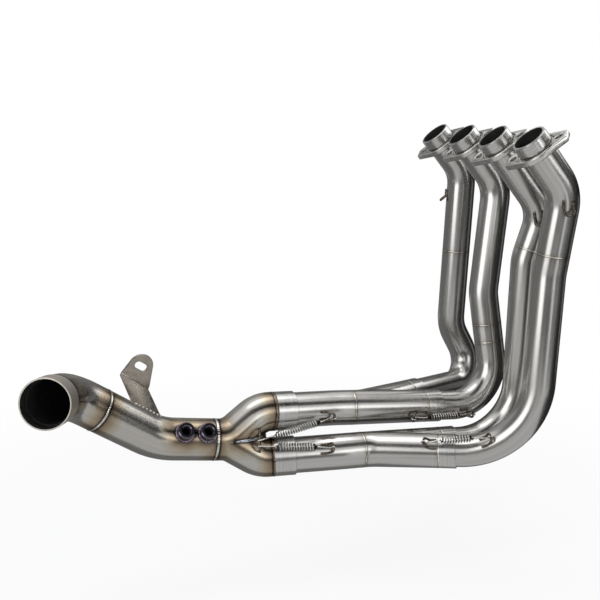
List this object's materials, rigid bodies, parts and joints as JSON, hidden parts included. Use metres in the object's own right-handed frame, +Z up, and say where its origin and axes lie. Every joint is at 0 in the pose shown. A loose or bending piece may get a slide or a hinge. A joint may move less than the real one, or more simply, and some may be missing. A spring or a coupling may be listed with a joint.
{
  "type": "exhaust_header",
  "caption": "Motorcycle exhaust header: bent stainless primary tubes merge through collectors and a Y-piece into one sleeved outlet, with loose port flanges and spring-held slip joints.",
  "frame": {"origin": "middle of the port row, in the plane of the spigot rims that enter the cylinder head", "axes": "+X to the front of the motorcycle, +Y to its left along the port row, +Z up"},
  "size_m": [0.6363, 0.3078, 0.424],
  "materials": {
    "tube_steel": "brushed stainless tube, satin, straw tint beside the welds",
    "turned_steel": "turned stainless, fine rings",
    "flange_steel": "machined stainless plate",
    "spring_steel": "drawn spring wire",
    "hook_wire": "drawn stainless wire, tinted at the welds",
    "bracket_steel": "folded stainless sheet",
    "bung_steel": "turned stainless, blue from the weld"
  },
  "bodies": {
    "root": {"port_spigot_1": "turned_steel", "port_flange_1": "flange_steel", "port_spigot_2": "turned_steel", "port_flange_2": "flange_steel", "port_spigot_3": "turned_steel", "port_flange_3": "flange_steel", "port_spigot_4": "turned_steel", "port_flange_4": "flange_steel", "primary_1_upper": "tube_steel", "primary_1_lower": "tube_steel", "primary_3_upper": "tube_steel", "primary_3_lower": "tube_steel", "primary_4_upper": "tube_steel", "primary_4_lower": "tube_steel", "primary_2_upper": "tube_steel", "primary_2_middle": "tube_steel", "primary_2_lower": "tube_steel", "slip_socket_1": "turned_steel", "slip_socket_2": "turned_steel", "slip_socket_3": "turned_steel", "slip_socket_4": "turned_steel", "upper_collector": "tube_steel", "lower_collector": "tube_steel", "upper_secondary": "tube_steel", "upper_inlet_socket": "turned_steel", "lower_secondary": "tube_steel", "lower_inlet_socket": "turned_steel", "y_piece": "tube_steel", "outlet_elbow": "tube_steel", "outlet_sleeve": "turned_steel", "lambda_bung_1": "bung_steel", "lambda_bung_2": "bung_steel", "outlet_pipe": "tube_steel", "hanger_bracket": "bracket_steel", "collector_hook_1": "hook_wire", "primary_hook_1": "hook_wire", "joint_spring_1": "spring_steel", "collector_hook_2": "hook_wire", "primary_hook_2": "hook_wire", "joint_spring_2": "spring_steel", "collector_hook_3": "hook_wire", "primary_hook_3": "hook_wire", "joint_spring_3": "spring_steel", "collector_hook_4": "hook_wire", "primary_hook_4": "hook_wire", "joint_spring_4": "spring_steel", "crotch_hook": "hook_wire", "upper_secondary_hook": "hook_wire", "upper_secondary_spring": "spring_steel", "lower_secondary_hook": "hook_wire", "lower_secondary_spring": "spring_steel", "top_loop_1": "hook_wire", "top_loop_3": "hook_wire", "top_loop_4": "hook_wire"}
  },
  "joints": []
}
